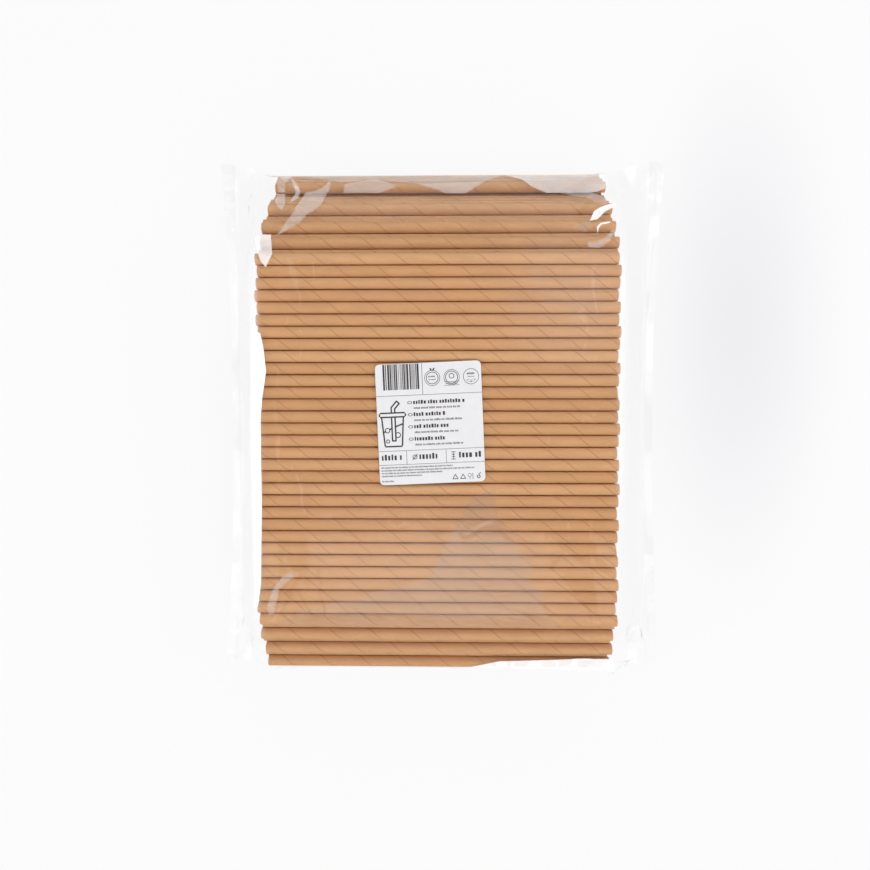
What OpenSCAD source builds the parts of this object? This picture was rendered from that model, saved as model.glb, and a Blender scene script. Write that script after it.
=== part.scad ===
// Sealed clear film bag of paper drinking straws, lying flat, with a blank-styled sticker on top.
// +X runs along the straws, +Y to the far side of the pack, +Z up from the table.

/* [Straws] */
// Outside diameter of one straw
straw_d = 8; // [6:0.5:12]
// Thickness of the rolled paper wall
straw_wall = 0.4; // [0.3:0.05:0.8]
// Length of one straw
straw_length = 240; // [180:5:250]
// Free space between neighbouring straws
straw_gap = 0.05; // [0.02:0.01:0.1]
// How far the straw ends stand out of line, each way
ragged = 1.2; // [0:0.1:2]
// How far the whole bundle sits off the middle of the bag, along the straws
bundle_shift = -2.5; // [-8:0.5:8]

/* [Bag] */
// Thickness of the clear film
film = 0.1; // [0.06:0.02:0.2]
// Free space between the straws and the film
slack = 0.1; // [0.06:0.02:0.3]
// Free length of the bag beyond each end of the straws, up to the seam line
end_room = 30; // [20:1:50]
// How far the seams reach past each side of the bundle
seam_reach = 7; // [3:0.5:15]
// Height of the seams above the table
seam_z = 40; // [25:1:60]
// Width of a seam strip at its middle
strip_middle = 6; // [4:0.5:8]
// Width of a seam strip at its corners
strip_corner = 11.5; // [10:0.5:16]
// Lean of the folded ears out of the seam strip, in degrees
ear_lean = 30; // [15:1:60]

/* [Sticker] */
// Width of the sticker
sticker_w = 70; // [50:1:90]
// Height of the sticker, across the straws
sticker_h = 80; // [60:1:100]
// Corner radius of the sticker
sticker_r = 3; // [1:0.5:8]
// Thickness of the sticker
sticker_t = 0.1; // [0.08:0.02:0.3]
// Turn of the sticker on the bag, in degrees
sticker_turn = 2.5; // [-5:0.5:5]
// Place of the middle of the sticker, along and across the pack
sticker_at = [-7, -4]; // [-30:1:30]

/* [Hidden] */
// Straws in each layer, from the table upwards: 500 in all
layer_counts = [34, 37, 40, 42, 42, 42, 41, 41, 40, 39, 37, 34, 31];
// How far the far straw of each layer stands beyond that of the top layer, in straw pitches
layer_steps = [5, 6.5, 8, 8.5, 8, 7.5, 6, 5.5, 5, 3.5, 3, 1.5, 0];
// The folded ears: side along X, side along Y, length along the seam and width at the corner
ears = [[1, 1, 95, 14], [1, -1, 62, 11], [-1, -1, 50, 10], [-1, 1, 40, 8]];

layers = len(layer_counts);
pitch = straw_d + straw_gap;
layer_rise = pitch * sqrt(3) / 2;
bottom_axis_z = film + slack + straw_d / 2;
top_z = 2 * bottom_axis_z + (layers - 1) * layer_rise;
// The near ends of the layers, in pitches from the far straw of the top layer
near_steps = [for (n = [0 : layers - 1]) layer_counts[n] - 1 - layer_steps[n]];
top_far_y = pitch * (max(near_steps) - max(layer_steps)) / 2;
seam_x = straw_length / 2 + end_room;
bundle_w = pitch * (max(near_steps) + max(layer_steps)) + straw_d;
seam_length = bundle_w + 2 * seam_reach;
// Evenly spread fractions, one for each straw, from the golden ratio
golden = 0.618034;
// Shape detail of the film around the round straws
film_sides = 32;

function layer_name(n) = str("straw_layer_", n < 10 ? "0" : "", n);

function fraction(x) = x - floor(x);

// How far a straw stands out of line, for the straw's number across the layer
function end_shift(n, i) = ragged * (2 * fraction(golden * (i + 7 * n)) - 1);

function straw_y(n, i) = top_far_y + pitch * (layer_steps[n - 1] - i);

function straw_z(n) = bottom_axis_z + (n - 1) * layer_rise;

// Puts a straw's axis in its place in layer n, i straws in from the far side
module at_straw(n, i, shift) {
    translate([bundle_shift + shift, straw_y(n, i), straw_z(n)])
        rotate([0, 90, 0])
            children();
}

// One straw: a plain paper tube, open at both ends
module straw() {
    difference() {
        cylinder(d = straw_d, h = straw_length, center = true, $fn = 48);
        cylinder(d = straw_d - 2 * straw_wall, h = straw_length + 2, center = true, $fn = 48);
    }
}

// One layer of straws, side by side, each a separate tube
module straw_layer(n) {
    color([0.78, 0.58, 0.4])
        for (i = [0 : layer_counts[n - 1] - 1])
            at_straw(n, i, end_shift(n, i))
                straw();
}

// A stretch of the end straws of every layer, grown by some distance
module bundle_stretch(middle, length, grow) {
    for (n = [1 : layers])
        for (i = [0, layer_counts[n - 1] - 1])
            at_straw(n, i, middle)
                cylinder(d = straw_d + 2 * grow, h = length, center = true, $fn = film_sides);
}

// The space around the bundle and out to both seam lines, grown by some distance
module bag_space(grow) {
    half = straw_length / 2 + ragged + grow;
    hull()
        bundle_stretch(0, 2 * half, grow);
    for (side = [-1, 1])
        hull() {
            bundle_stretch(side * (half - 1), 2, grow);
            translate([side * seam_x, 0, seam_z])
                cube([2 * grow, seam_length + 2 * grow, 2 * grow], center = true);
        }
}

// A flat sealed strip beyond the seam line, drawn in at its middle by the full bag
module seam_strip() {
    inner_x = seam_x + slack + film / 2;
    half = seam_length / 2;
    sag = strip_corner - strip_middle;
    bow_r = (half * half + sag * sag) / (2 * sag);
    translate([0, 0, seam_z - film])
        linear_extrude(2 * film)
            difference() {
                translate([inner_x, -half])
                    square([strip_corner, seam_length]);
                translate([inner_x + strip_middle + bow_r, 0])
                    circle(r = bow_r, $fn = 360);
            }
}

// A corner ear of the bag, folded up out of the seam strip
module ear(length, width) {
    base_x = seam_x + slack + film;
    translate([base_x, seam_length / 2 - length, seam_z - film / 2])
        rotate([0, -ear_lean, 0])
            linear_extrude(2 * film)
                polygon([[0, 0], [width * cos(ear_lean), length], [0, length]]);
}

// The bag: one film skin around the bundle, its two seam strips and its ears
module film_bag() {
    color([0.93, 0.94, 0.97, 0.35]) {
        difference() {
            bag_space(slack + film);
            bag_space(slack);
        }
        for (side = [0, 1])
            mirror([side, 0, 0])
                seam_strip();
        for (e = ears)
            mirror([e[0] < 0 ? 1 : 0, 0, 0])
                mirror([0, e[1] < 0 ? 1 : 0, 0])
                    ear(e[2], e[3]);
    }
}

// The outline of the sticker, a square-cornered sheet with rounded corners
module sticker_outline() {
    square([sticker_w - 2 * sticker_r, sticker_h], center = true);
    square([sticker_w, sticker_h - 2 * sticker_r], center = true);
    for (x = [-1, 1])
        for (y = [-1, 1])
            translate([x * (sticker_w / 2 - sticker_r), y * (sticker_h / 2 - sticker_r)])
                circle(r = sticker_r, $fn = 48);
}

// The paper sticker, face to face on the flat top of the bag
module sticker() {
    color([0.95, 0.94, 0.97])
        translate([sticker_at[0], sticker_at[1], top_z])
            rotate([0, 0, sticker_turn])
                linear_extrude(sticker_t)
                    sticker_outline();
}

for (n = [1 : layers])
    straw_layer(n);
film_bag();
sticker();
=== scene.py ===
"""A sealed clear film bag of kraft paper drinking straws, with a printed sticker, seen from above."""

import math
import random

import bpy
import numpy as np
from mathutils import Matrix, Vector, noise
from mathutils.bvhtree import BVHTree


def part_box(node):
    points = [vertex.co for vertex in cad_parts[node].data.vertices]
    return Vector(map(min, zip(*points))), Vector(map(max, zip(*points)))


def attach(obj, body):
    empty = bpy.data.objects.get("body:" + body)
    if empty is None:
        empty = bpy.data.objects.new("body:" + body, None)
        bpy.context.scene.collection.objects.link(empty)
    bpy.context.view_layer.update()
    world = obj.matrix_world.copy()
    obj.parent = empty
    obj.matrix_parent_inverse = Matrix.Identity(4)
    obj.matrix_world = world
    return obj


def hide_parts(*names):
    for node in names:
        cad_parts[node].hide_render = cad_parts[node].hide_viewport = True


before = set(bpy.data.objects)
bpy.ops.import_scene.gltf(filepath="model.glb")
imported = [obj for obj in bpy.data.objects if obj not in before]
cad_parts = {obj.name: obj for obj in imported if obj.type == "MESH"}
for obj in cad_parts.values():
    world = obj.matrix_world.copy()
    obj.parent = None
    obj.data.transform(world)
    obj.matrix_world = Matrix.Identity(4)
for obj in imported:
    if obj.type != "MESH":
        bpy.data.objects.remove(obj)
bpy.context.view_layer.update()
scene = bpy.context.scene

MM = 0.001

# Straws
STRAW_R = 4.0 * MM
STRAW_SHOWN_R = 3.85 * MM
STRAW_WALL = 0.4 * MM
STRAW_LENGTH = 240.0 * MM
STRAW_SIDES = 24
PITCH = 8.05 * MM
RAGGED = 1.2 * MM
GOLDEN = 0.618034
BUNDLE_SHIFT = -2.5 * MM
# How far a straw may lie off its place across the layer, each way
STRAW_PLAY = 0.05 * MM
# How far the far straw of a layer has rolled out of the stack
ROLLED_OUT = {"straw_layer_04": 3.7 * MM, "straw_layer_05": 2.4 * MM, "straw_layer_06": 1.9 * MM}
# The lap of the wound paper: how far it moves along the straw in one turn, and half its dark line's width
LAP_LEAD = 27.5 * MM
LAP_LINE = 0.85 * MM
KRAFT_DARK = (0.575, 0.305, 0.142, 1)
KRAFT_LIGHT = (0.65, 0.37, 0.188, 1)
LAP_BROWN = (0.36, 0.16, 0.065, 1)

# Film: the skin round the straws, its seams, its folded ears and its pleats
FILM = 0.1 * MM
FILM_CLEAR = 0.2 * MM
FILM_TINT = (0.98, 0.98, 1.0, 1)
# How much the film mirrors face on, how much more at a slant, and the strength of a painted glow that keeps
# its milky folds white
MIRROR_FACE_ON = 0.012
MIRROR_SLANT = 0.3
PAINTED_FOLD_GLOW = 0.25
BODY_HALF = STRAW_LENGTH / 2 + RAGGED + FILM_CLEAR
SEAM_X = 150 * MM
SEAM_Z = 40 * MM
HALF_SEAM = 184.1 * MM
# The seam strip's width at its middle and corners, and how far the full bag draws its middle in
STRIP_MIDDLE = 6 * MM
STRIP_CORNER = 11.5 * MM
SEAM_BOW = 1.3 * MM
# The free space between the two films at the seam
SEAM_GAP = 0.12 * MM
# Points across the pack over and under the bundle, and rows along it
OVER_POINTS = 226
UNDER_POINTS = 36
BODY_ROWS = 108
END_ROWS = 15
STRIP_ROWS = 4
EAR_ROWS = 26
EAR_COLUMNS = 9
# Where the film goes slack: from and to, along the pack from its middle, and across along the film
END_ZONE = (0.070, 0.122)
SIDE_ZONE = (0.118, 0.160)
# The flatter stretch under the sticker: its middle along the pack, and half its size each way
FLAT_MIDDLE = -7 * MM
FLAT_HALF = (0.055, 0.060)
# How high each kind of slack stands off the straws, in millimetres
LOOSE = 0.55
CROSS_CREASE = 0.45
END_ROLL = 1.5
SEAM_CREASE = 1.3
CORNER_PLEAT = 2.2
CORNER_CRUMPLE = 0.8
SIDE_CREASE = 0.5
# Each ear: side along X, side along Y, length, width at the corner, and lean in radians
EARS = (
    (1, 1, 95 * MM, 11 * MM, 0.55),
    (1, -1, 62 * MM, 9 * MM, 0.7),
    (-1, -1, 50 * MM, 9 * MM, 0.6),
    (-1, 1, 40 * MM, 7 * MM, 0.5),
)
# Each pleat: how milky it is, a white that is partly the haze of doubled film and partly painted highlights
# and reflections, how far it stands off the skin, and its corners in plan, in millimetres
PLEATS = {
    "tip": (0.2, 0.8, ((-112, 180), (-117, 178), (-119, 169), (-116, 160), (-112, 160), (-113, 167),
                       (-111, 176))),
    "curl": (0.28, 1.2, ((-111, 176), (-103, 165), (-100, 159), (-101, 153), (-106, 149), (-103, 159),
                         (-107, 166))),
    "foot": (0.2, 0.8, ((-117, 152), (-116, 157), (-111, 158), (-109, 149), (-110, 142), (-114, 146))),
    "far left band": (0.2, 1.6, ((-81, 173), (-80, 163), (-84, 146), (-92, 138), (-96, 131), (-110, 121),
                                 (-102, 139), (-96, 159), (-89, 161), (-84, 166))),
    "far left patch": (0.6, 1.0, ((-124, 119), (-122, 121), (-114, 122), (-111, 107), (-115, 98),
                                  (-118, 102), (-121, 110))),
    "far edge": (0.1, 0.5, ((-106, 180), (-81, 173), (-74, 170), (-48, 174), (-19, 168), (31, 170),
                            (45, 179), (-31, 180))),
    "far left wave": (0.19, 0.6, ((-70, 168), (-48, 174), (-32, 166), (-44, 159), (-70, 159))),
    "far middle wave": (0.25, 0.6, ((-17, 168), (31, 170), (17, 158), (3, 158), (-8, 164))),
    "far right": (0.36, 0.8, ((47, 179), (58, 172), (65, 164), (74, 158), (105, 158), (115, 160),
                              (118, 166), (118, 178), (80, 180))),
    "far right tail": (0.12, 0.5, ((84, 158), (105, 158), (112, 154), (115, 147), (110, 146), (103, 152))),
    "sliver": (0.85, 1.6, ((100, 132), (104, 140), (110, 144), (118, 146), (120, 145), (111, 139),
                           (105, 133))),
    "crease": (0.8, 1.2, ((104, 122), (104, 127), (107, 130), (113, 131), (113, 130), (107, 128.5),
                          (105, 126))),
    "right band": (0.2, 1.0, ((96, 115), (97, 112), (104, 111), (111, 116), (116, 124), (114, 125),
                              (109, 119), (104, 116))),
    "faint": (0.08, 0.5, ((88, 128), (100, 132), (101, 126), (95, 123))),
    "near right": (0.8, 0.6, ((20, -176), (41, -170), (83, -168), (118, -166), (121, -177))),
    "left ends": (0.85, 0.4, ((-124, 57), (-119, 55), (-117, 46), (-115.5, 30), (-118, 13), (-119, 0),
                              (-119, -60), (-120, -110), (-122, -126), (-124, -128))),
    "crescent": (0.16, 0.8, ((-115, -133), (-116, -127), (-113, -117), (-106, -107), (-99, -103),
                             (-98, -107), (-108, -115), (-110, -125), (-112, -132))),
    "veil": (0.03, 0.3, ((20, -53), (36, -48), (38, -66), (61, -98), (58, -110), (68, -115), (70, -130),
                         (84, -142), (-112, -140), (-94, -130), (-40, -116), (-7, -107))),
}
# How far a pleat's edge stands off the skin, and the height that its corners are dropped from
PLEAT_EDGE = 0.3 * MM
DROP_FROM = 0.2
# Painted highlights and sheen on the skin itself, as milky white: how milky, the middle in plan and the
# spread each way, in millimetres
PAINTED_HIGHLIGHTS = (
    (0.03, 88, 80, 42, 45),
    (0.015, -15, -90, 75, 40),
    (0.3, -123.8, -12, 3.2, 92),
    (0.06, 120, 20, 3.5, 130),
)

# Sticker and print: sizes on the label are in millimetres
LABEL_W = 70
LABEL_H = 80
LABEL_R = 3
LABEL_CELLS = (56, 64)
STICKER_T = 0.09 * MM
STICKER_TURN = math.radians(2.5)
# How far the sticker stands off the solid one, and how uneven it is
STICKER_RISE = 0.3
STICKER_BUMPS = 0.16
STICKER_WHITE = (0.8, 0.795, 0.81)
PRINT_DARK = (0.045, 0.035, 0.035)
PRINT_LIFT = 0.05 * MM
PRINT_T = 0.015 * MM
# Marks shorter than the first stay whole, and ones longer than the second are cut into many cells
SHORT_MARK = 2
LONG_MARK = 8
LONG_CELLS = 28
RULE = 0.25
CUP_STROKE = 0.95

# Camera, fitted to the rows of straws in the photograph
CAMERA_AT = (4.07 * MM, 4.9 * MM, 535.0 * MM)
CAMERA_TILT = (-2.17, 1.02, 0.08)
FOCAL_PX = 669.3
PHOTO_PX = 870
SENSOR_MM = 36.0

# Studio
FLOOR_SIZE = 6
FLOOR_DIFFUSE = (0.88, 0.88, 0.895, 1)
FLOOR_WHITE = (0.975, 0.975, 0.98, 1)
# The grey of a painted shade on the floor to the right of the pack
FLOOR_PAINTED_SHADE = (0.86, 0.86, 0.885, 1)
# How much of the floor's look is its own pale colour, which no shadow darkens
FLOOR_PLAIN = 0.92
# Where the painted shade lies on the floor, and its size
PAINTED_SHADE_AT = (0.235, 0.075, 0)
PAINTED_SHADE_SIZE = (0.1, 0.26, 1)
BACKGROUND = (0.98, 0.98, 0.99, 1)
# The world's level by height, from below to straight above
WORLD_LEVELS = ((0.0, 0.4), (0.2, 0.38), (0.5, 0.34), (0.72, 0.24), (0.9, 0.1), (1.0, 0.04))
# How far to the side the white flats start and are full, which the film mirrors
FLATS = (0.3, 0.42)
# The place in the pack that the side boxes are aimed at
PACK_MIDDLE = (0, 0, 0.06)
# Each soft box: place, target, size, level and whether the film mirrors it
SOFT_BOXES = {
    "near_box": ((0.5, -1.5, 1.35), PACK_MIDDLE, (2.0, 1.0), 3.0, False),
    "left_box": ((-0.8, -0.1, 0.66), PACK_MIDDLE, (0.45, 0.4), 4.5, True),
    "right_box": ((0.85, 0.1, 0.75), PACK_MIDDLE, (0.6, 0.45), 3.4, True),
    "far_box": ((0.1, 1.3, 0.95), PACK_MIDDLE, (1.5, 0.7), 2.5, False),
    "veil_box": ((-0.028, -0.391, 1.2), (-0.028, -0.391, 0), (0.63, 0.23), 1.4, True),
    "left_panel": ((-0.6, 0.0, 1.3), (-0.6, 0.0, 0), (0.3, 1.3), 1.5, True),
    "right_panel": ((0.58, 0.0, 1.3), (0.58, 0.0, 0), (0.34, 1.3), 1.3, True),
}

LAYERS = sorted(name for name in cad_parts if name.startswith("straw_layer_"))


# Small helpers

def deselect():
    """Leaves edit mode and selects nothing."""
    if bpy.context.mode != "OBJECT":
        bpy.ops.object.mode_set(mode="OBJECT")
    bpy.ops.object.select_all(action="DESELECT")


def pick(obj):
    """Selects one object alone and makes it active."""
    deselect()
    obj.select_set(True)
    bpy.context.view_layer.objects.active = obj


def settle(obj):
    """Moves an object's place into its mesh."""
    pick(obj)
    bpy.ops.object.transform_apply(location=True, rotation=True, scale=True)


def finish_modifier(obj, kind, **values):
    """Adds a modifier and applies it."""
    pick(obj)
    modifier = obj.modifiers.new(kind.title(), kind)
    for key, value in values.items():
        setattr(modifier, key, value)
    bpy.ops.object.modifier_apply(modifier=modifier.name)


def smooth(obj, degrees):
    """Shades an object smooth up to an angle."""
    pick(obj)
    bpy.ops.object.shade_smooth_by_angle(angle=math.radians(degrees))


def give(obj, material):
    """Gives an object one material."""
    obj.data.materials.clear()
    obj.data.materials.append(material)


def join(objects, name):
    """Joins objects into one piece with a name."""
    deselect()
    for obj in objects:
        obj.select_set(True)
    bpy.context.view_layer.objects.active = objects[0]
    bpy.ops.object.join()
    objects[0].name = name
    objects[0].data.name = name
    return objects[0]


def mesh_object(name, points, faces):
    """Makes a mesh object from points and faces."""
    mesh = bpy.data.meshes.new(name)
    mesh.from_pydata([tuple(p) for p in points], [], faces)
    obj = bpy.data.objects.new(name, mesh)
    bpy.context.collection.objects.link(obj)
    return obj


# Shader helpers

def new_material(name):
    """A material with an empty node tree and its output."""
    material = bpy.data.materials.new(name)
    material.use_nodes = True
    nodes = material.node_tree.nodes
    nodes.clear()
    out = nodes.new("ShaderNodeOutputMaterial")
    out.location = (600, 0)
    return material, nodes, material.node_tree.links, out


def math_node(nodes, links, operation, a, b=None, c=None):
    """A Math node with each input a number or a socket."""
    node = nodes.new("ShaderNodeMath")
    node.operation = operation
    for socket, value in zip(node.inputs, (a, b, c)):
        if value is None:
            continue
        if hasattr(value, "links"):
            links.new(value, socket)
        else:
            socket.default_value = value
    return node.outputs[0]


def map_range(nodes, links, value, low, high, to_low, to_high):
    """A smooth Map Range of a value."""
    node = nodes.new("ShaderNodeMapRange")
    node.interpolation_type = "SMOOTHSTEP"
    links.new(value, node.inputs["Value"])
    for key, number in zip(("From Min", "From Max", "To Min", "To Max"), (low, high, to_low, to_high)):
        node.inputs[key].default_value = number
    return node.outputs["Result"]


def noise_node(nodes, links, vector, scale, detail, roughness=0.5, distortion=0.0):
    """A noise texture on a vector."""
    node = nodes.new("ShaderNodeTexNoise")
    links.new(vector, node.inputs["Vector"])
    node.inputs["Scale"].default_value = scale
    node.inputs["Detail"].default_value = detail
    node.inputs["Roughness"].default_value = roughness
    node.inputs["Distortion"].default_value = distortion
    return node.outputs["Fac"]


def mix_colour(nodes, links, factor, a, b, blend="MIX"):
    """A colour mix with each input a value or a socket."""
    node = nodes.new("ShaderNodeMix")
    node.data_type = "RGBA"
    node.blend_type = blend
    for socket, value in ((node.inputs[0], factor), (node.inputs[6], a), (node.inputs[7], b)):
        if hasattr(value, "links"):
            links.new(value, socket)
        else:
            socket.default_value = value
    return node.outputs[2]


def bump(nodes, links, height, strength, distance, normal=None):
    """A Bump node on a height."""
    node = nodes.new("ShaderNodeBump")
    node.inputs["Strength"].default_value = strength
    node.inputs["Distance"].default_value = distance
    links.new(height, node.inputs["Height"])
    if normal is not None:
        links.new(normal, node.inputs["Normal"])
    return node.outputs["Normal"]


def stretched_object_coordinates(nodes, links, scale):
    """Object coordinates, scaled along each axis."""
    coords = nodes.new("ShaderNodeTexCoord")
    mapping = nodes.new("ShaderNodeMapping")
    mapping.inputs["Scale"].default_value = scale
    links.new(coords.outputs["Object"], mapping.inputs["Vector"])
    return mapping.outputs["Vector"]


def wound_strip_group():
    """The lap of a wound paper strip: a dark line mask and a height, from the UV along and around."""
    group = bpy.data.node_groups.new("wound strip", "ShaderNodeTree")
    face = group.interface
    face.new_socket("UV", in_out="INPUT", socket_type="NodeSocketVector")
    lead = face.new_socket("Lead", in_out="INPUT", socket_type="NodeSocketFloat")
    lead.default_value = LAP_LEAD
    width = face.new_socket("Line Width", in_out="INPUT", socket_type="NodeSocketFloat")
    width.default_value = LAP_LINE
    face.new_socket("Line", in_out="OUTPUT", socket_type="NodeSocketFloat")
    face.new_socket("Height", in_out="OUTPUT", socket_type="NodeSocketFloat")
    nodes = group.nodes
    links = group.links
    given = nodes.new("NodeGroupInput")
    out = nodes.new("NodeGroupOutput")
    split = nodes.new("ShaderNodeSeparateXYZ")
    links.new(given.outputs["UV"], split.inputs[0])
    turns = math_node(nodes, links, "DIVIDE", split.outputs["X"], given.outputs["Lead"])
    phase = math_node(nodes, links, "FRACT", math_node(nodes, links, "SUBTRACT", turns, split.outputs["Y"]))
    back = math_node(nodes, links, "SUBTRACT", 1.0, phase)
    near = math_node(nodes, links, "MINIMUM", phase, back)
    distance = math_node(nodes, links, "MULTIPLY", near, given.outputs["Lead"])
    share = math_node(nodes, links, "DIVIDE", distance, given.outputs["Line Width"])
    line = map_range(nodes, links, share, 0.25, 1.0, 1.0, 0.0)
    ramp = map_range(nodes, links, phase, 0.0, 0.06, 1.0, 0.0)
    links.new(line, out.inputs["Line"])
    links.new(ramp, out.inputs["Height"])
    return group


def fibre_group():
    """Paper fibre: a fine mottle for the colour and a height for the bump."""
    group = bpy.data.node_groups.new("paper fibre", "ShaderNodeTree")
    face = group.interface
    face.new_socket("Vector", in_out="INPUT", socket_type="NodeSocketVector")
    face.new_socket("Mottle", in_out="OUTPUT", socket_type="NodeSocketFloat")
    face.new_socket("Height", in_out="OUTPUT", socket_type="NodeSocketFloat")
    nodes = group.nodes
    links = group.links
    given = nodes.new("NodeGroupInput")
    out = nodes.new("NodeGroupOutput")
    fine = noise_node(nodes, links, given.outputs["Vector"], 1800.0, 4.0, 0.65)
    broad = noise_node(nodes, links, given.outputs["Vector"], 140.0, 3.0, 0.55)
    slow = math_node(nodes, links, "MULTIPLY", broad, 0.45)
    both = math_node(nodes, links, "MULTIPLY_ADD", fine, 0.55, slow)
    links.new(both, out.inputs["Mottle"])
    links.new(fine, out.inputs["Height"])
    return group


def straw_material(strip, fibre):
    """Kraft paper: warm brown, matte, with fibres, a tone for each straw and the lap of the wound strip."""
    material, nodes, links, out = new_material("kraft_paper")
    shader = nodes.new("ShaderNodeBsdfPrincipled")
    shader.inputs["Specular IOR Level"].default_value = 0.28
    links.new(shader.outputs[0], out.inputs[0])
    grain = nodes.new("ShaderNodeGroup")
    grain.node_tree = fibre
    links.new(stretched_object_coordinates(nodes, links, (0.35, 1.0, 1.0)), grain.inputs["Vector"])
    lap = nodes.new("ShaderNodeGroup")
    lap.node_tree = strip
    uv = nodes.new("ShaderNodeUVMap")
    uv.uv_map = "wrap"
    links.new(uv.outputs[0], lap.inputs["UV"])
    tone = nodes.new("ShaderNodeAttribute")
    tone.attribute_name = "tone"
    base = mix_colour(nodes, links, tone.outputs["Fac"], KRAFT_DARK, KRAFT_LIGHT)
    mottle = map_range(nodes, links, grain.outputs["Mottle"], 0.36, 0.64, 0.93, 1.05)
    grey = nodes.new("ShaderNodeCombineColor")
    for socket in grey.inputs:
        links.new(mottle, socket)
    fibred = mix_colour(nodes, links, 1.0, base, grey.outputs[0], "MULTIPLY")
    faint = math_node(nodes, links, "MULTIPLY", lap.outputs["Line"], 0.5)
    lined = mix_colour(nodes, links, faint, fibred, LAP_BROWN)
    links.new(lined, shader.inputs["Base Color"])
    rough = map_range(nodes, links, grain.outputs["Mottle"], 0.3, 0.7, 0.6, 0.78)
    links.new(rough, shader.inputs["Roughness"])
    step = bump(nodes, links, lap.outputs["Height"], 0.5, 0.1 * MM)
    rough_paper = bump(nodes, links, grain.outputs["Height"], 0.25, 0.05 * MM, step)
    links.new(rough_paper, shader.inputs["Normal"])
    return material


def film_material():
    """Clear film: nearly see-through face on, brighter at a slant, and milky where it is folded, with
    painted highlights and reflections in the milky white and a painted glow in the folds.
    """
    material, nodes, links, out = new_material("clear_film")
    shader = nodes.new("ShaderNodeBsdfPrincipled")
    shader.inputs["Base Color"].default_value = FILM_TINT
    shader.inputs["Roughness"].default_value = 0.06
    links.new(shader.outputs[0], out.inputs[0])
    vector = stretched_object_coordinates(nodes, links, (1.0, 0.7, 1.0))
    soft = noise_node(nodes, links, vector, 28.0, 2.0, 0.4, 0.8)
    crease = math_node(nodes, links, "ABSOLUTE", math_node(nodes, links, "SUBTRACT", soft, 0.5))
    crease = math_node(nodes, links, "MINIMUM", crease, 0.05)
    normal = bump(nodes, links, crease, 0.28, 4.0 * MM)
    links.new(normal, shader.inputs["Normal"])
    weight = nodes.new("ShaderNodeLayerWeight")
    weight.inputs["Blend"].default_value = 0.5
    links.new(normal, weight.inputs["Normal"])
    slant = math_node(nodes, links, "POWER", weight.outputs["Facing"], 5.0)
    mirror = math_node(nodes, links, "MULTIPLY_ADD", slant, MIRROR_SLANT, MIRROR_FACE_ON)
    # Milky white: a doubled film's haze, and painted highlights and reflections on the folds and the skin
    milk_and_painted_highlights = nodes.new("ShaderNodeAttribute")
    milk_and_painted_highlights.attribute_name = "milk_and_painted_highlights"
    folds = noise_node(nodes, links, vector, 70.0, 1.0, 0.4, 1.0)
    streaks = map_range(nodes, links, folds, 0.35, 0.65, 0.84, 1.12)
    milk_and_highlight_cover = math_node(nodes, links, "MULTIPLY", milk_and_painted_highlights.outputs["Fac"], streaks)
    alpha = math_node(nodes, links, "ADD", mirror, milk_and_highlight_cover)
    links.new(alpha, shader.inputs["Alpha"])
    links.new(math_node(nodes, links, "DIVIDE", mirror, alpha), shader.inputs["Metallic"])
    # A painted glow keeps the milky folds white where they slant away from the lamps
    painted_glow_share = math_node(nodes, links, "DIVIDE", milk_and_highlight_cover, alpha)
    inner = nodes.new("ShaderNodeCombineColor")
    for socket in inner.inputs:
        links.new(painted_glow_share, socket)
    links.new(inner.outputs[0], shader.inputs["Emission Color"])
    shader.inputs["Emission Strength"].default_value = PAINTED_FOLD_GLOW
    return material


def plain_material(name, colour, roughness, fibre, strength):
    """Coated paper or ink: one colour with a faint mottle."""
    material, nodes, links, out = new_material(name)
    shader = nodes.new("ShaderNodeBsdfPrincipled")
    links.new(shader.outputs[0], out.inputs[0])
    grain = nodes.new("ShaderNodeGroup")
    grain.node_tree = fibre
    links.new(stretched_object_coordinates(nodes, links, (1.0, 1.0, 1.0)), grain.inputs["Vector"])
    shade = map_range(nodes, links, grain.outputs["Mottle"], 0.3, 0.7, 1.0 - strength, 1.0)
    grey = nodes.new("ShaderNodeCombineColor")
    for socket in grey.inputs:
        links.new(shade, socket)
    shaded = mix_colour(nodes, links, 1.0, (*colour, 1), grey.outputs[0], "MULTIPLY")
    links.new(shaded, shader.inputs["Base Color"])
    rough = map_range(nodes, links, grain.outputs["Mottle"], 0.3, 0.7, roughness - 0.06, roughness + 0.06)
    links.new(rough, shader.inputs["Roughness"])
    links.new(bump(nodes, links, grain.outputs["Height"], 0.12, 0.03 * MM), shader.inputs["Normal"])
    return material


# Straws

def straw_master():
    """One paper tube along X about the origin: a wall with plain rims and a UV along and around."""
    deselect()
    bpy.ops.mesh.primitive_cylinder_add(
        vertices=STRAW_SIDES, radius=STRAW_SHOWN_R, depth=STRAW_LENGTH, end_fill_type="NOTHING",
        rotation=(0, math.pi / 2, 0))
    straw = bpy.context.object
    settle(straw)
    finish_modifier(straw, "SOLIDIFY", thickness=STRAW_WALL, offset=-1)
    layer = straw.data.uv_layers.new(name="wrap")
    for face in straw.data.polygons:
        around = []
        for corner in face.loop_indices:
            point = straw.data.vertices[straw.data.loops[corner].vertex_index].co
            around.append((math.atan2(point.z, point.y) / (2 * math.pi)) % 1.0)
        low = min(around)
        if max(around) - low > 0.5:
            around = [a + 1.0 if a < 0.5 else a for a in around]
        for corner, a in zip(face.loop_indices, around):
            point = straw.data.vertices[straw.data.loops[corner].vertex_index].co
            layer.data[corner].uv = (point.x, a)
    smooth(straw, 40)
    return straw


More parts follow.
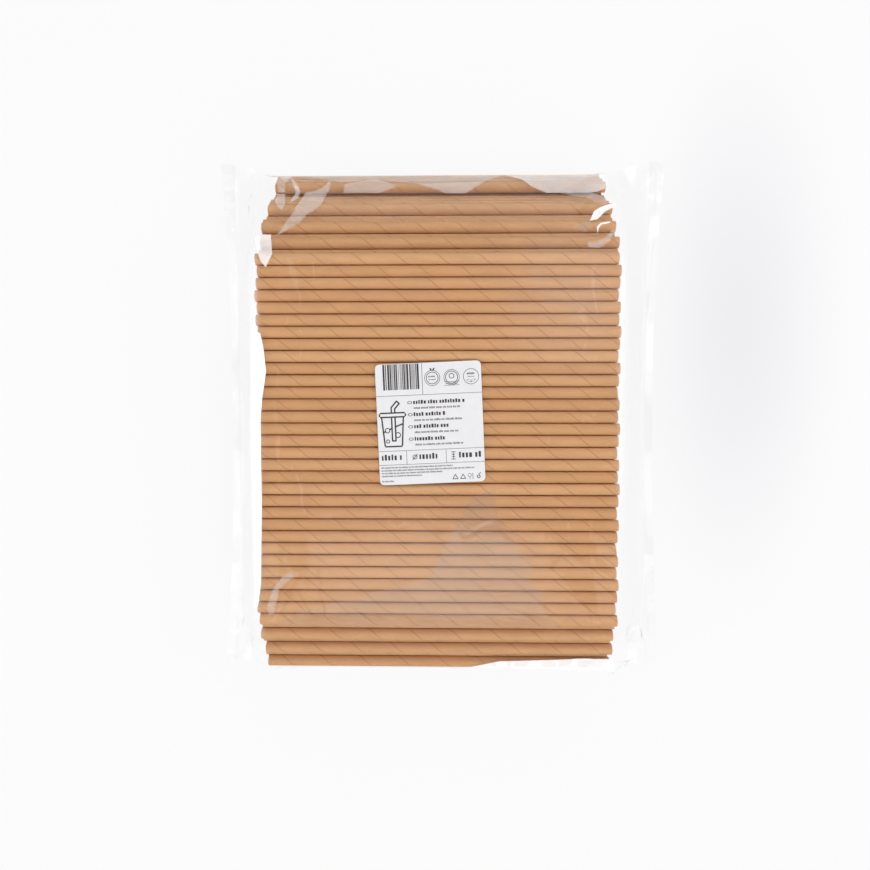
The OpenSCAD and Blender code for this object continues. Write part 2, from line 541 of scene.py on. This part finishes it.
def straw_places(node):
    """The middles of a layer's straws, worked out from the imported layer's box."""
    low, high = (Vector(c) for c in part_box(node))
    count = round((high.y - low.y - 2 * STRAW_R) / PITCH) + 1
    layer = LAYERS.index(node) + 1
    for i in range(count):
        shift = RAGGED * (2 * ((GOLDEN * (i + 7 * layer)) % 1.0) - 1)
        roll = ROLLED_OUT.get(node, 0.0) if i == 0 else 0.0
        y = high.y - STRAW_R - i * PITCH + roll
        yield Vector((BUNDLE_SHIFT + shift, y, (low.z + high.z) / 2))


def straw_layers(master, material):
    """Every layer's straws as one piece, each straw turned and toned in its own way."""
    chance = random.Random(11)
    for node in LAYERS:
        copies = []
        for place in straw_places(node):
            copy = master.copy()
            copy.data = master.data.copy()
            bpy.context.collection.objects.link(copy)
            turn = Matrix.Rotation(chance.uniform(0, 2 * math.pi), 4, "X")
            place.y += chance.uniform(-STRAW_PLAY, STRAW_PLAY)
            copy.data.transform(Matrix.Translation(place) @ turn)
            tone = copy.data.attributes.new("tone", "FLOAT", "POINT")
            tone.data.foreach_set("value", [chance.betavariate(2.2, 2.2)] * len(copy.data.vertices))
            copies.append(copy)
        piece = join(copies, node.replace("layer", "row"))
        give(piece, material)
        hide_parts(node)
        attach(piece, "root")
    bpy.data.objects.remove(master)


# Film bag

def bundle_outline(clearance):
    """The outline round all layers, as (y, z) points: the hull of circles about their end straws."""
    centres = []
    for node in LAYERS:
        low, high = (Vector(c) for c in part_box(node))
        z = (low.z + high.z) / 2
        centres.append((low.y + STRAW_R, z))
        centres.append((high.y - STRAW_R + ROLLED_OUT.get(node, 0.0), z))
    centres = np.array(centres)
    out = []
    for angle in np.linspace(-math.pi, math.pi, 1441)[:-1]:
        direction = np.array([math.cos(angle), math.sin(angle)])
        best = centres[(centres @ direction).argmax()]
        out.append(best + (STRAW_R + clearance) * direction)
    return np.array(out)


def chain(points, count):
    """Points spread evenly along a line of points."""
    steps = np.r_[0, np.cumsum(np.linalg.norm(np.diff(points, axis=0), axis=1))]
    at = np.linspace(0, steps[-1], count)
    return np.stack([np.interp(at, steps, points[:, k]) for k in range(2)], 1)


def smoothstep(low, high, value):
    """A soft step from 0 to 1."""
    share = np.clip((value - low) / (high - low), 0, 1)
    return share * share * (3 - 2 * share)


def wave(x, y, seed):
    """Smooth noise at a point, about -1 to 1."""
    return noise.noise(Vector((x, y, seed))) * 1.6


def ridge(x, y, seed):
    """Sharp crease lines on smooth noise: 1 on a crease, falling away on both sides."""
    return max(0.0, 1.0 - 2.2 * abs(wave(x, y, seed)))


def stations():
    """The places of the rings along X: (x, share out to the seam, share across the seam strip)."""
    left = BUNDLE_SHIFT - BODY_HALF
    right = BUNDLE_SHIFT + BODY_HALF
    out = []
    for k in range(STRIP_ROWS, 0, -1):
        out.append((-SEAM_X, 1.0, k / STRIP_ROWS))
    for k in range(END_ROWS, 0, -1):
        run = k / END_ROWS
        out.append((left - (SEAM_X + left) * run, run, 0.0))
    for k in range(BODY_ROWS + 1):
        out.append((left + (right - left) * k / BODY_ROWS, 0.0, 0.0))
    for k in range(1, END_ROWS + 1):
        run = k / END_ROWS
        out.append((right + (SEAM_X - right) * run, run, 0.0))
    for k in range(1, STRIP_ROWS + 1):
        out.append((SEAM_X, 1.0, k / STRIP_ROWS))
    return out


def sheet_points(ring, half_seam, lift):
    """One half of the film, over or under the bundle, as a grid of points (station, place, xyz)."""
    share = np.linspace(-1, 1, len(ring))
    out = []
    for x, run, strip in stations():
        side = 1 if x > 0 else -1
        morph = 0.72 * run + 0.28 * run * run
        gap = lift * SEAM_GAP * (1 - share ** 8)
        flat = np.stack([share * half_seam, SEAM_Z + gap], 1)
        yz = ring * (1 - morph) + flat * morph
        edge = STRIP_MIDDLE + (STRIP_CORNER - STRIP_MIDDLE) * share ** 2
        bow = -SEAM_BOW * (1 - share ** 2) * run ** 2
        xs = np.full(len(ring), x) + side * (bow + edge * strip)
        out.append(np.c_[xs, yz])
    return np.array(out)


def outward(grid):
    """Unit normals of a grid of points, turned up."""
    along = np.gradient(grid, axis=0)
    across = np.gradient(grid, axis=1)
    normal = np.cross(along, across)
    length = np.linalg.norm(normal, axis=2, keepdims=True)
    normal = normal / np.maximum(length, 1e-12)
    flip = np.where(normal[..., 2:] < -0.02, -1.0, 1.0)
    return normal * flip


def slack_heights(grid):
    """How far each point of the upper film stands off the straws, in metres."""
    rows, count = grid.shape[:2]
    steps = np.linalg.norm(np.diff(grid[rows // 2], axis=0), axis=1)
    film_places = np.r_[0, np.cumsum(steps)]
    film_places -= film_places[-1] / 2
    out = np.zeros((rows, count))
    for i, (x, run, strip) in enumerate(stations()):
        past = abs(x - BUNDLE_SHIFT)
        end = float(smoothstep(*END_ZONE, past))
        rim = math.exp(-((past - BODY_HALF + 2 * MM) / (7 * MM)) ** 2)
        side = 1 if x > 0 else -1
        for j in range(count):
            y = film_places[j]
            slope = float(smoothstep(*SIDE_ZONE, abs(y)))
            corner = end * slope
            label = math.exp(-(((x - FLAT_MIDDLE) / FLAT_HALF[0]) ** 4 + (y / FLAT_HALF[1]) ** 4))
            low = 0.5 + 0.5 * wave(x * 17, y * 13, 1.7)
            height = LOOSE * low * (1 - 0.8 * label)
            # Creases across the straws, where the film is pulled round the bundle
            bent = x * 42 + 2 * wave(x * 9, y * 9, 5.1)
            height += CROSS_CREASE * ridge(bent, y * 7, 3.3) * (1 - label) * (0.35 + end)
            # A soft roll over the straws' ends, and long creases beside the seams
            height += END_ROLL * rim * (1 + 0.5 * wave(y * 16, side * 3.1, 8.2))
            height += SEAM_CREASE * run * (1 - run) * 4 * ridge(x * 95, y * 11 + side * 4, 6.4)
            # Pleats that run in from the corners, with fine crumples, and creases down the long sides
            angle = math.atan2(abs(y) - 0.235, 0.172 - past + 1e-6)
            height += CORNER_PLEAT * corner * ridge(angle * 7 + side * 5, past * 8 + (y > 0) * 9, 9.7)
            height += CORNER_CRUMPLE * corner * ridge(x * 75, y * 60, 12.9)
            height += SIDE_CREASE * slope * (1 - end) * ridge(x * 30 + y * 12, y * 22, 2.2)
            edge = 1 - smoothstep(0.93, 1.0, abs(2 * j / (count - 1) - 1))
            out[i, j] = height * MM * edge * (1 - strip)
    return out


def build_skin():
    """The film round the bundle and its two seam strips, as a skin of quads."""
    high = Vector(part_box("film_bag")[1])
    outline = bundle_outline(FILM_CLEAR)
    near = outline[:, 0].argmin()
    loop = np.roll(outline, -near, axis=0)
    far = loop[:, 0].argmax()
    # The outline runs from the near side under the bundle to the far side, then back over the top
    under = chain(loop[:far + 1], UNDER_POINTS)
    over = chain(np.r_[loop[far:], loop[:1]], OVER_POINTS)[::-1]
    top = sheet_points(over, high.y - FILM, 1)
    bottom = sheet_points(under, high.y - FILM, -1)
    top = top + outward(top) * slack_heights(top)[..., None]
    top = strip_waves(top)
    bottom = strip_waves(bottom)
    points = np.concatenate([top.reshape(-1, 3), bottom.reshape(-1, 3)])
    faces = []
    for start, count, turn in ((0, OVER_POINTS, False), (top.shape[0] * OVER_POINTS, UNDER_POINTS, True)):
        for i in range(len(top) - 1):
            for j in range(count - 1):
                a = start + i * count + j
                quad = (a, a + count, a + count + 1, a + 1)
                faces.append(quad[::-1] if turn else quad)
    return points, faces


def strip_waves(grid):
    """Gives the seam strips their slow ripple, up and down, along the seam."""
    out = grid.copy()
    for i, (x, run, strip) in enumerate(stations()):
        side = 1 if x > 0 else -1
        for j in range(grid.shape[1]):
            y = grid[i, j, 1]
            ripple = wave(y * 14, side * 7, 4.4) * 1.6 + wave(y * 45, side * 7, 6.6) * 0.5
            out[i, j, 2] += ripple * MM * run ** 3 * (0.6 + 0.8 * strip)
            out[i, j, 0] += side * 0.5 * MM * wave(y * 20, side * 3, 1.1) * strip
    return out


def ear(side_x, side_y, length, width, lean):
    """A folded corner of the bag: a curved flap that stands out of the seam strip."""
    points = []
    for i in range(EAR_ROWS + 1):
        along = i / EAR_ROWS
        for j in range(EAR_COLUMNS + 1):
            out = j / EAR_COLUMNS
            reach = width * along ** 1.15 * out
            rise = reach * math.sin(lean * (0.5 + 0.9 * along)) * (0.7 + 0.5 * out)
            rise += 0.9 * MM * along * math.sin(9 * out + 4 * along)
            x = SEAM_X + 1.5 * MM + reach * math.cos(lean * along)
            y = HALF_SEAM - length * (1 - along) - 1.5 * MM * out * along
            points.append((side_x * x, side_y * y, SEAM_Z + 0.5 * MM + rise))
    faces = []
    for i in range(EAR_ROWS):
        for j in range(EAR_COLUMNS):
            a = i * (EAR_COLUMNS + 1) + j
            faces.append((a, a + 1, a + EAR_COLUMNS + 2, a + EAR_COLUMNS + 1))
    return mesh_object("ear", points, faces)


def pleat(surface, milk_and_painted_highlights, lift, corners):
    """A fold of film that lies over itself: a milky patch with straight edges just above the skin, its
    white partly painted highlight.
    """
    flap = mesh_object("pleat", [(x * MM, y * MM, DROP_FROM) for x, y in corners], [range(len(corners))])
    pick(flap)
    bpy.ops.object.mode_set(mode="EDIT")
    bpy.ops.mesh.select_all(action="SELECT")
    bpy.ops.mesh.quads_convert_to_tris()
    bpy.ops.mesh.subdivide(number_cuts=5)
    bpy.ops.object.mode_set(mode="OBJECT")
    middle = np.array(corners).mean(axis=0) * MM
    reach = np.linalg.norm(np.array(corners) * MM - middle, axis=1).max()
    for vertex in flap.data.vertices:
        hit = surface.ray_cast(Vector((vertex.co.x, vertex.co.y, DROP_FROM)), Vector((0, 0, -1)))
        inner = 1 - np.linalg.norm(np.array(vertex.co[:2]) - middle) / reach
        vertex.co.z = (hit[0].z if hit[0] is not None else SEAM_Z) + PLEAT_EDGE + lift * inner * MM
    # The film of the flap has two faces, which are milky together; the milk carries painted highlights too
    set_milk_and_painted_highlights(flap, [1 - math.sqrt(1 - milk_and_painted_highlights)] * len(flap.data.vertices))
    return flap


def set_milk_and_painted_highlights(obj, values):
    """Keeps how milky the film is at each point, painted highlights included."""
    layer = obj.data.attributes.new("milk_and_painted_highlights", "FLOAT", "POINT")
    layer.data.foreach_set("value", values)


def skin_painted_highlights(points):
    """The painted highlights and sheen of the skin at each of its points, as faint milky areas."""
    plan = np.array(points)[:, :2] / MM
    out = np.zeros(len(plan))
    for level, x, y, wide, deep in PAINTED_HIGHLIGHTS:
        out += level * np.exp(-((plan[:, 0] - x) / wide) ** 2 - ((plan[:, 1] - y) / deep) ** 2)
    return out.tolist()


def build_film(material):
    """The film bag as one thin closed piece: skin, seam strips, ears and pleats."""
    points, faces = build_skin()
    skin = mesh_object("film_skin", points, faces)
    pick(skin)
    bpy.ops.object.mode_set(mode="EDIT")
    bpy.ops.mesh.select_all(action="SELECT")
    bpy.ops.mesh.remove_doubles(threshold=0.01 * MM)
    bpy.ops.mesh.normals_make_consistent(inside=False)
    bpy.ops.object.mode_set(mode="OBJECT")
    # Painted highlights and sheen on the skin, as milky white
    set_milk_and_painted_highlights(skin, skin_painted_highlights([v.co[:] for v in skin.data.vertices]))
    surface = BVHTree.FromObject(skin, bpy.context.evaluated_depsgraph_get())
    flaps = [ear(*values) for values in EARS]
    flaps += [pleat(surface, *values) for values in PLEATS.values()]
    film = join([skin] + flaps, "film_skin")
    finish_modifier(film, "SOLIDIFY", thickness=FILM, offset=-1)
    smooth(film, 70)
    give(film, material)
    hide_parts("film_bag")
    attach(film, "root")


# Sticker and its print

def label_to_world(u, v):
    """A place on the sticker, in millimetres from its upper left corner, in the scene."""
    low, high = (Vector(c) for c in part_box("sticker"))
    middle = (low + high) / 2
    across = (u - LABEL_W / 2) * MM
    up = (LABEL_H / 2 - v) * MM
    cosine = math.cos(STICKER_TURN)
    sine = math.sin(STICKER_TURN)
    return Vector((middle.x + across * cosine - up * sine, middle.y + across * sine + up * cosine, high.z))


def label_rise(x, y):
    """The sticker's gentle unevenness, in metres."""
    return (STICKER_RISE + STICKER_BUMPS * wave(x * 22, y * 22, 3.9)) * MM


def settle_on_label(obj, lift):
    """Lays a flat piece in label millimetres on the sticker's uneven surface."""
    for vertex in obj.data.vertices:
        u, v, z = vertex.co
        place = label_to_world(u, -v)
        place.z += label_rise(place.x, place.y) + lift + z * MM
        vertex.co = place
    obj.data.update()


def build_sticker(material):
    """The sticker: a thin, gently uneven sheet with rounded corners on the film."""
    deselect()
    columns, rows = LABEL_CELLS
    bpy.ops.mesh.primitive_grid_add(x_subdivisions=columns, y_subdivisions=rows, size=1)
    sheet = bpy.context.object
    sheet.name = "sticker_sheet"
    sheet.scale = (LABEL_W, LABEL_H, 1)
    sheet.location = (LABEL_W / 2, -LABEL_H / 2, 0)
    settle(sheet)
    for vertex in sheet.data.vertices:
        # Points outside the corner's arc move in to it
        in_x = max(abs(vertex.co.x - LABEL_W / 2) - LABEL_W / 2 + LABEL_R, 0)
        in_y = max(abs(vertex.co.y + LABEL_H / 2) - LABEL_H / 2 + LABEL_R, 0)
        reach = math.hypot(in_x, in_y)
        if in_x > 0 and in_y > 0 and reach > 0:
            spare = 1 - max(in_x, in_y) / reach
            vertex.co.x -= math.copysign(in_x * spare, vertex.co.x - LABEL_W / 2)
            vertex.co.y -= math.copysign(in_y * spare, vertex.co.y + LABEL_H / 2)
    settle_on_label(sheet, 0)
    finish_modifier(sheet, "SOLIDIFY", thickness=STICKER_T, offset=-1)
    smooth(sheet, 40)
    give(sheet, material)
    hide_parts("sticker")
    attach(sheet, "root")


class Printer:
    """Collects printed marks, each a copy of a unit shape, in label millimetres."""

    def __init__(self):
        self.marks = []
        self.units = {}

    def unit(self, kind):
        """The unit shape of a kind: a block, a disc, or a ring whose kind is its line's width."""
        if kind not in self.units:
            deselect()
            if kind == "dot":
                bpy.ops.mesh.primitive_plane_add(size=1)
            elif kind == "block":
                bpy.ops.mesh.primitive_plane_add(size=1)
                bpy.ops.object.mode_set(mode="EDIT")
                bpy.ops.mesh.subdivide(number_cuts=3)
                bpy.ops.object.mode_set(mode="OBJECT")
            elif kind == "strip":
                bpy.ops.mesh.primitive_grid_add(x_subdivisions=LONG_CELLS, y_subdivisions=1, size=1)
            elif kind == "disc":
                bpy.ops.mesh.primitive_circle_add(vertices=20, radius=0.5, fill_type="NGON")
            else:
                bpy.ops.mesh.primitive_circle_add(vertices=32, radius=0.5, fill_type="NGON")
                bpy.ops.object.mode_set(mode="EDIT")
                bpy.ops.mesh.select_all(action="SELECT")
                bpy.ops.mesh.inset(thickness=float(kind))
                bpy.ops.mesh.delete(type="FACE")
                bpy.ops.object.mode_set(mode="OBJECT")
            self.units[kind] = bpy.context.object
        return self.units[kind]

    def mark(self, kind, u, v, w, h, turn=0.0):
        """A copy of a unit shape about a place, with a width, height and turn."""
        source = self.unit(kind)
        copy = source.copy()
        copy.data = source.data.copy()
        bpy.context.collection.objects.link(copy)
        spin = Matrix.Rotation(math.radians(turn), 4, "Z")
        size = Matrix.Diagonal((w, h, 1, 1))
        copy.data.transform(Matrix.Translation((u, -v, 0)) @ spin @ size)
        self.marks.append(copy)

    def bar(self, left, top, right, bottom):
        """An upright block between its edges."""
        wide = right - left
        tall = bottom - top
        middle = ((left + right) / 2, (top + bottom) / 2)
        if max(wide, tall) < SHORT_MARK:
            self.mark("dot", *middle, wide, tall)
        elif max(wide, tall) < LONG_MARK:
            self.mark("block", *middle, wide, tall)
        elif wide > tall:
            self.mark("strip", *middle, wide, tall)
        else:
            self.mark("strip", *middle, tall, wide, 90)

    def line(self, u0, v0, u1, v1, width):
        """A straight line with a width."""
        length = math.hypot(u1 - u0, v1 - v0) + width * 0.5
        turn = math.degrees(math.atan2(v0 - v1, u1 - u0))
        kind = "block" if length < LONG_MARK else "strip"
        self.mark(kind, (u0 + u1) / 2, (v0 + v1) / 2, length, width, turn)

    def words(self, u, v, length, height, chance, weight=0.36):
        """Uneven groups of plain upright blocks that stand for a line of words."""
        at = u
        end = u + length
        while at < end - height * weight:
            for _ in range(chance.randint(3, 8)):
                width = height * weight * chance.uniform(0.75, 1.25)
                if at + width > end:
                    break
                above = height * chance.choice((0.34, 0.34, 0.5))
                self.bar(at, v - above, at + width, v + height * 0.36)
                at += width + height * 0.2
            at += height * 0.3

    def finish(self, material):
        """Joins the marks into one thin printed piece on the sticker."""
        piece = join(self.marks, "sticker_ink")
        for unit in self.units.values():
            bpy.data.objects.remove(unit)
        settle_on_label(piece, PRINT_LIFT)
        finish_modifier(piece, "SOLIDIFY", thickness=PRINT_T, offset=1)
        give(piece, material)
        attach(piece, "root")


def print_top(ink, chance):
    """Upright bars, a rule and three rings along the top."""
    at = 5.0
    while at < 29.0:
        width = chance.choice((0.3, 0.3, 0.6, 0.9, 1.2))
        ink.bar(at, 0.35, min(at + width, 29.4), 17.2)
        at += width + chance.choice((0.35, 0.5, 0.8))
    ink.bar(30.8, 0.5, 31.1, 20.8)
    for u in (37.6, 50.4, 63.2):
        ink.mark("0.03", u, 10.3, 10.4, 10.4)
    # In the first ring, a ring and two lines, and on its top, two small leaves
    ink.mark("0.05", 37.6, 10.3, 8.2, 8.2)
    ink.words(34.9, 9.4, 5.4, 1.1, chance)
    ink.words(35.2, 11.3, 4.8, 0.8, chance)
    ink.mark("disc", 36.8, 4.6, 1.0, 2.2, 35)
    ink.mark("disc", 38.6, 4.6, 1.0, 2.2, -35)
    # In the second, two rings and a band with a line in it
    ink.mark("0.05", 50.4, 10.3, 8.4, 8.4)
    ink.bar(45.4, 13.0, 55.4, 13.0 + RULE)
    ink.bar(45.4, 15.4, 55.4, 15.4 + RULE)
    ink.words(46.4, 14.35, 8.2, 0.9, chance)
    ink.mark("0.12", 50.4, 9.4, 3.6, 3.6)
    # In the third, two lines and two ovals
    ink.words(60.6, 8.4, 5.2, 1.6, chance)
    ink.words(61.0, 10.4, 4.4, 0.7, chance)
    ink.mark("0.1", 61.9, 13.0, 3.4, 1.5, -28)
    ink.mark("0.1", 64.5, 13.0, 3.4, 1.5, 28)


def print_rules(ink):
    """The rules between the fields."""
    for v in (20.9, 57.4, 66.6):
        ink.bar(0.0, v, LABEL_W, v + RULE)
    for u in (18.4, 44.6):
        ink.bar(u, 57.4, u + RULE, 66.6)


def print_cup(ink):
    """A cup with a lid, a bent straw and ice."""
    lid = ((2.2, 32.3, 18.2, 32.3), (2.2, 35.0, 18.2, 35.0),
           (1.6, 33.0, 1.6, 34.4), (18.8, 33.0, 18.8, 34.4))
    sides = ((3.0, 35.2, 4.6, 54.0), (17.4, 35.2, 16.0, 54.0), (4.9, 54.5, 15.7, 54.5))
    bent_straw = ((9.6, 32.0, 9.6, 28.7), (11.9, 32.0, 11.9, 29.6), (9.6, 28.7, 13.3, 24.6),
                  (11.9, 29.6, 15.0, 26.2), (13.3, 24.6, 15.0, 26.2), (9.6, 35.2, 9.6, 50.6),
                  (11.9, 35.2, 11.9, 50.6), (9.6, 50.8, 11.9, 50.8))
    drink = ((3.9, 45.0, 5.4, 44.4), (7.9, 43.4, 9.4, 42.4), (12.2, 41.4, 17.0, 39.6))
    for line in lid + sides + bent_straw + drink:
        ink.line(*line, CUP_STROKE)
    ink.mark("0.16", 6.6, 43.8, 3.6, 3.6)
    ink.mark("0.16", 13.4, 47.0, 3.8, 3.8)
    ink.mark("0.2", 6.6, 51.0, 2.6, 2.6)


def print_headings(ink, chance):
    """Four headings, each with a ring before it and a fine line under it."""
    for v, long, fine in ((25.9, 34.3, 30.7), (33.9, 20.8, 32.2), (41.9, 23.4, 29.3), (50.1, 20.5, 32.0)):
        ink.mark("0.16", 22.0, v, 3.1, 2.0)
        ink.words(24.3, v, long, 2.9, chance, 0.4)
        ink.words(24.6, v + 3.8, fine, 1.6, chance, 0.26)


def print_bold_fields(ink, chance):
    """Three bold fields of plain blocks, the second after a struck ring and the third after two arrows."""
    ink.words(2.0, 62.0, 13.5, 4.4, chance, 0.32)
    ink.mark("0.14", 24.0, 62.0, 3.1, 3.1)
    ink.line(22.4, 63.8, 25.6, 60.2, 0.5)
    ink.words(26.9, 62.0, 14.0, 4.4, chance, 0.32)
    for v0, v1 in ((59.6, 61.7), (64.4, 62.3)):
        barb = v1 + (v0 - v1) / 3
        ink.bar(48.0, v0 - 0.2, 51.0, v0 + 0.2)
        ink.line(49.5, v0, 49.5, v1, 0.4)
        ink.line(49.5, v1, 48.6, barb, 0.4)
        ink.line(49.5, v1, 50.4, barb, 0.4)
    ink.words(53.2, 62.0, 15.0, 4.4, chance, 0.32)


def print_foot(ink, chance):
    """Fine lines and four small signs at the foot."""
    for v, long in ((68.6, 47.5), (70.5, 61.5), (72.3, 41.0), (74.2, 27.0), (77.6, 8.0)):
        ink.words(1.4, v, long, 1.2, chance, 0.26)
    for u in (50.2, 55.3):
        ink.line(u - 1.7, 77.6, u, 74.6, 0.45)
        ink.line(u + 1.7, 77.6, u, 74.6, 0.45)
        ink.line(u - 1.7, 77.6, u + 1.7, 77.6, 0.45)
    ink.mark("0.1", 59.8, 75.4, 2.4, 2.4)
    ink.line(59.8, 76.6, 59.8, 78.0, 0.35)
    ink.line(61.8, 74.2, 61.8, 78.0, 0.35)
    ink.mark("0.22", 65.6, 76.6, 2.4, 2.4)
    ink.line(66.0, 75.0, 67.0, 74.0, 0.5)


def build_print(material):
    """The print as plain fields and simple shapes, in millimetres from the sticker's upper left corner."""
    chance = random.Random(5)
    ink = Printer()
    print_top(ink, chance)
    print_rules(ink)
    print_cup(ink)
    print_headings(ink, chance)
    print_bold_fields(ink, chance)
    print_foot(ink, chance)
    ink.finish(material)


# Studio

def build_camera():
    """The camera, nearly straight above the pack."""
    data = bpy.data.cameras.new("camera")
    data.sensor_width = SENSOR_MM
    data.lens = SENSOR_MM * FOCAL_PX / PHOTO_PX
    data.clip_start = 0.01
    camera = bpy.data.objects.new("camera", data)
    bpy.context.collection.objects.link(camera)
    camera.location = CAMERA_AT
    camera.rotation_mode = "ZYX"
    camera.rotation_euler = [math.radians(a) for a in CAMERA_TILT]
    scene.camera = camera


def build_floor():
    """A wide pale floor that keeps a light shadow, with a painted grey shade to the right of the pack."""
    deselect()
    bpy.ops.mesh.primitive_plane_add(size=FLOOR_SIZE, location=(0, 0, 0))
    floor = bpy.context.object
    floor.name = "floor"
    material, nodes, links, out = new_material("pale_floor")
    diffuse = nodes.new("ShaderNodeBsdfDiffuse")
    diffuse.inputs["Color"].default_value = FLOOR_DIFFUSE
    glow = nodes.new("ShaderNodeEmission")
    # A painted soft grey shade on the floor to the right of the pack
    coords = nodes.new("ShaderNodeTexCoord")
    spot = nodes.new("ShaderNodeMapping")
    spot.vector_type = "TEXTURE"
    spot.inputs["Location"].default_value = PAINTED_SHADE_AT
    spot.inputs["Scale"].default_value = PAINTED_SHADE_SIZE
    links.new(coords.outputs["Object"], spot.inputs["Vector"])
    painted_shade_gradient = nodes.new("ShaderNodeTexGradient")
    painted_shade_gradient.gradient_type = "SPHERICAL"
    links.new(spot.outputs["Vector"], painted_shade_gradient.inputs["Vector"])
    inside = map_range(nodes, links, painted_shade_gradient.outputs["Fac"], 0.0, 1.0, 0.0, 1.0)
    tint = mix_colour(nodes, links, inside, FLOOR_WHITE, FLOOR_PAINTED_SHADE)
    links.new(tint, glow.inputs["Color"])
    path = nodes.new("ShaderNodeLightPath")
    seen = math_node(nodes, links, "MAXIMUM", path.outputs["Is Camera Ray"], path.outputs["Is Glossy Ray"])
    seen = math_node(nodes, links, "MAXIMUM", seen, path.outputs["Is Transmission Ray"])
    share = math_node(nodes, links, "MULTIPLY", seen, FLOOR_PLAIN)
    mix = nodes.new("ShaderNodeMixShader")
    links.new(share, mix.inputs[0])
    links.new(diffuse.outputs[0], mix.inputs[1])
    links.new(glow.outputs[0], mix.inputs[2])
    links.new(mix.outputs[0], out.inputs[0])
    give(floor, material)


def build_world():
    """A studio with white flats past both ends of the straws, dim straight above."""
    world = bpy.data.worlds.new("studio")
    world.use_nodes = True
    nodes = world.node_tree.nodes
    links = world.node_tree.links
    nodes.clear()
    out = nodes.new("ShaderNodeOutputWorld")
    background = nodes.new("ShaderNodeBackground")
    coords = nodes.new("ShaderNodeTexCoord")
    split = nodes.new("ShaderNodeSeparateXYZ")
    links.new(coords.outputs["Generated"], split.inputs[0])
    ramp = nodes.new("ShaderNodeValToRGB")
    while len(ramp.color_ramp.elements) < len(WORLD_LEVELS):
        ramp.color_ramp.elements.new(0.5)
    for element, (place, level) in zip(ramp.color_ramp.elements, WORLD_LEVELS):
        element.position = place
        element.color = (level, level, level, 1)
    links.new(split.outputs["Z"], ramp.inputs[0])
    # The camera sees a white background, and the film mirrors its flats, but neither lights the pack
    path = nodes.new("ShaderNodeLightPath")
    sideways = math_node(nodes, links, "ABSOLUTE", split.outputs["X"])
    flats = map_range(nodes, links, sideways, *FLATS, 0.0, 1.0)
    mirrored = math_node(nodes, links, "MULTIPLY", path.outputs["Is Glossy Ray"], flats)
    share = math_node(nodes, links, "MAXIMUM", mirrored, path.outputs["Is Camera Ray"])
    share = math_node(nodes, links, "MAXIMUM", share, path.outputs["Is Transmission Ray"])
    tint = mix_colour(nodes, links, share, ramp.outputs[0], BACKGROUND)
    links.new(tint, background.inputs[0])
    links.new(background.outputs[0], out.inputs[0])
    scene.world = world


def soft_box(name, place, target, size, level, mirrored):
    """A soft rectangular light of an even brightness, aimed at a point and hidden from the camera."""
    data = bpy.data.lights.new(name, "AREA")
    data.shape = "RECTANGLE"
    data.size, data.size_y = size
    data.energy = level * math.pi * size[0] * size[1]
    light = bpy.data.objects.new(name, data)
    bpy.context.collection.objects.link(light)
    light.location = place
    direction = Vector(target) - Vector(place)
    light.rotation_euler = direction.to_track_quat("-Z", "Y").to_euler()
    light.visible_camera = False
    light.visible_glossy = mirrored


def build_lights():
    """Soft boxes on all four sides, and faint ones above that the film mirrors."""
    for name, values in SOFT_BOXES.items():
        soft_box(name, *values)


def build():
    """Makes the whole scene."""
    scene.view_settings.view_transform = "Standard"
    build_camera()
    build_floor()
    build_world()
    build_lights()
    strip = wound_strip_group()
    fibre = fibre_group()
    straw_layers(straw_master(), straw_material(strip, fibre))
    build_film(film_material())
    build_sticker(plain_material("sticker_paper", STICKER_WHITE, 0.45, fibre, 0.04))
    build_print(plain_material("sticker_print", PRINT_DARK, 0.5, fibre, 0.3))


build()
